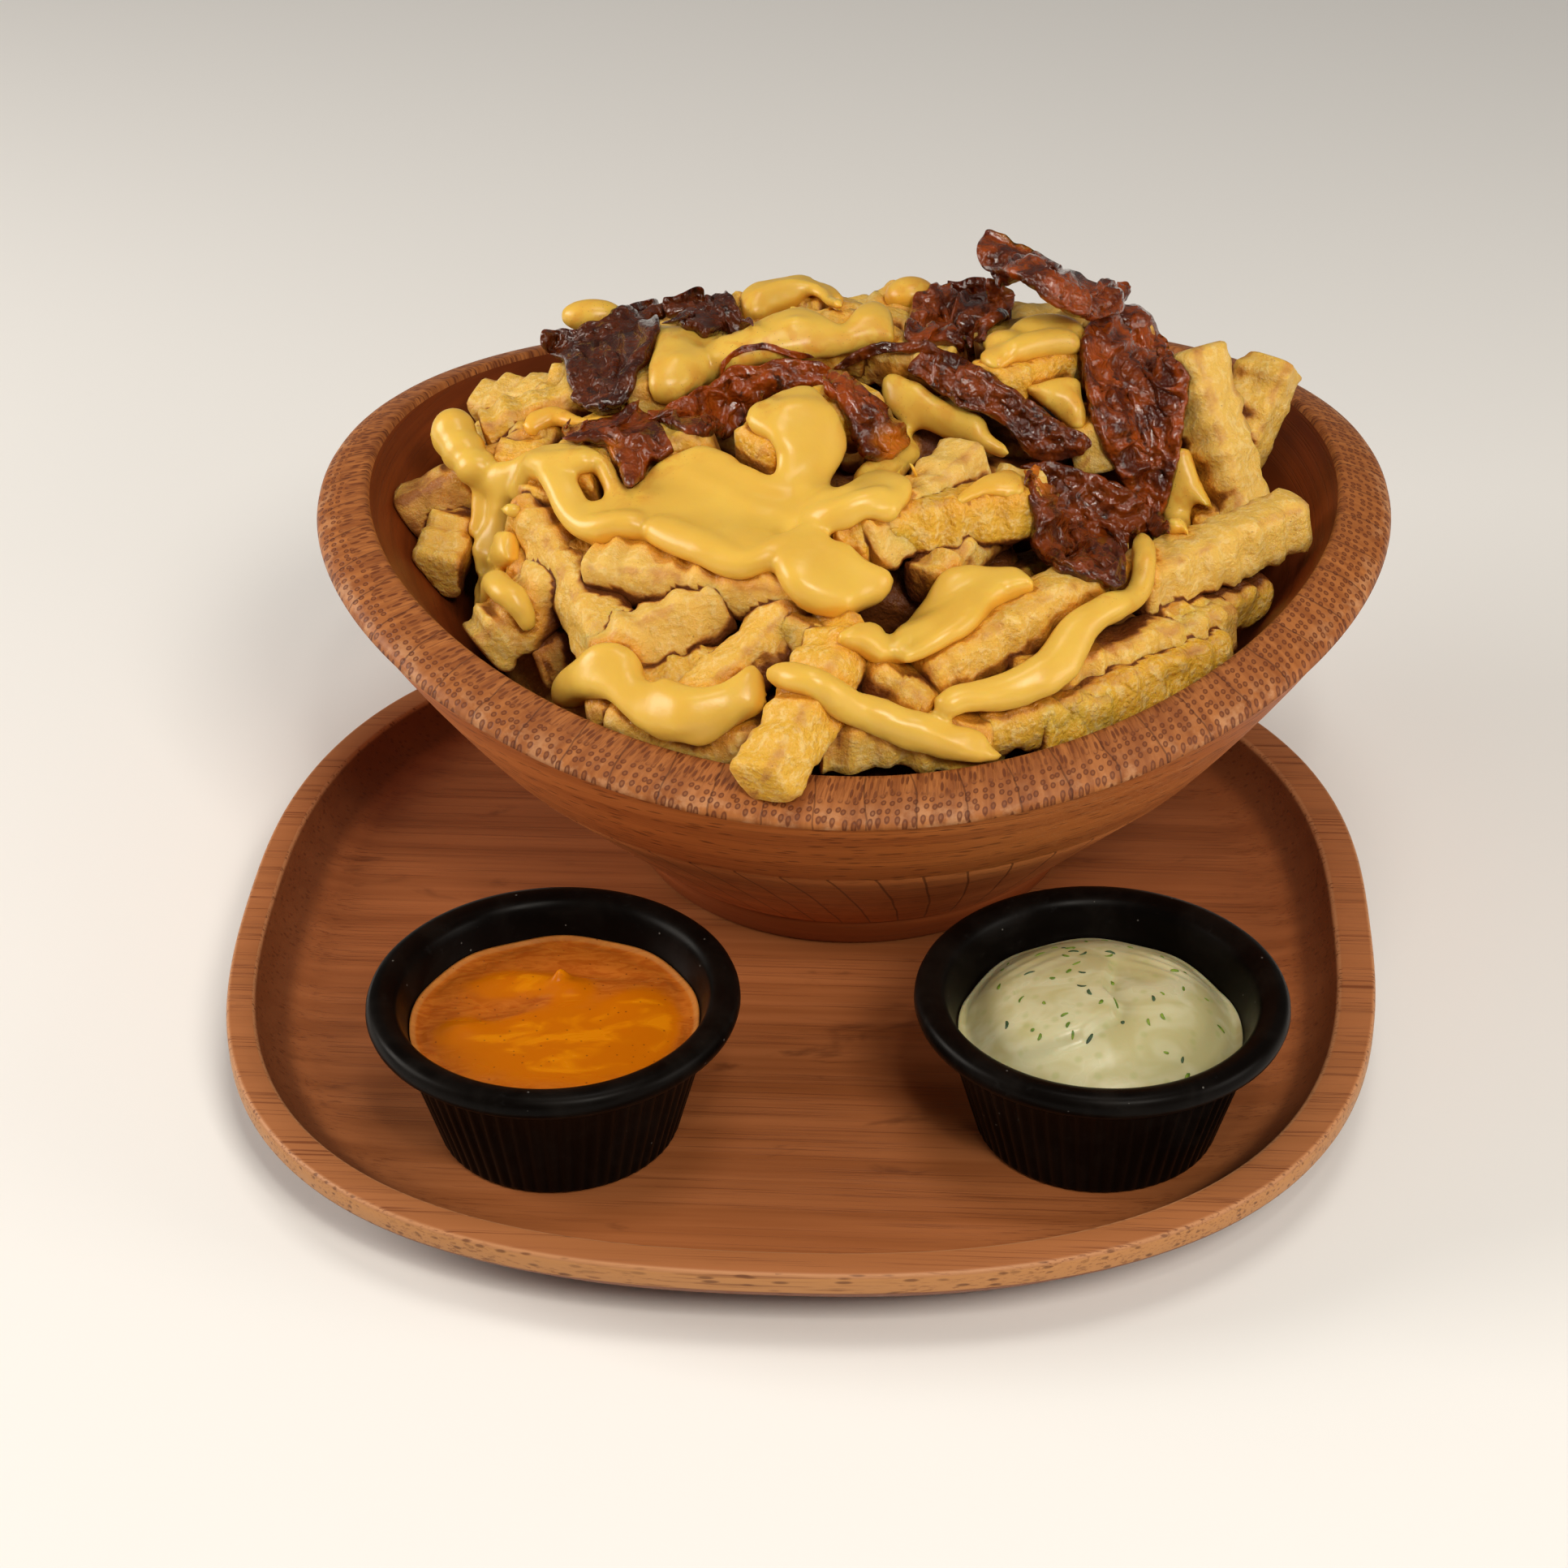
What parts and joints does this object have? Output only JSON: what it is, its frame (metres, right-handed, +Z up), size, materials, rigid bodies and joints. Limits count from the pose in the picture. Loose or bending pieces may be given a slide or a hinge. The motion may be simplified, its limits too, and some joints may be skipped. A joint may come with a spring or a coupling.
{
  "type": "cheese fries",
  "caption": "Bamboo bowl heaped with crinkle-cut fries, cheese sauce and browned onion, standing on a shallow bamboo tray with fluted sauce cups of dip.",
  "frame": {"origin": "bottom centre of the bounding box, on the surface the tray stands on", "axes": "+X to the diner's right, +Y away from the diner, from the sauce cups towards the bowl, +Z up"},
  "size_m": [0.2458, 0.275, 0.1359],
  "materials": {
    "bamboo_tray": "satin oiled bamboo, strand grain from left to right, end grain at the rim",
    "bamboo_bowl": "satin oiled bamboo in joined bands, end-grain dots on the rim",
    "fries": "crisp pale gold fried potato with browner edges",
    "cheese_sauce": "smooth glossy warm yellow sauce",
    "onion": "dark browned onion, wet gloss, amber where thin",
    "cup": "satin black melamine, finely fluted below a rolled lip",
    "dip_orange": "glossy orange dip with darker film and fine specks",
    "dip_herb": "pale green-white creamy dip with herb flecks"
  },
  "bodies": {
    "root": {"tray": "bamboo_tray", "bowl": "bamboo_bowl", "fries": "fries", "onion_back_left": "onion", "onion_left": "onion", "onion_strip": "onion", "onion_diagonal": "onion", "onion_back": "onion", "onion_top": "onion", "onion_right": "onion", "onion_front_right": "onion", "cup_left": "cup", "cup_right": "cup", "dip_orange": "dip_orange", "dip_herb": "dip_herb"}
  },
  "joints": []
}
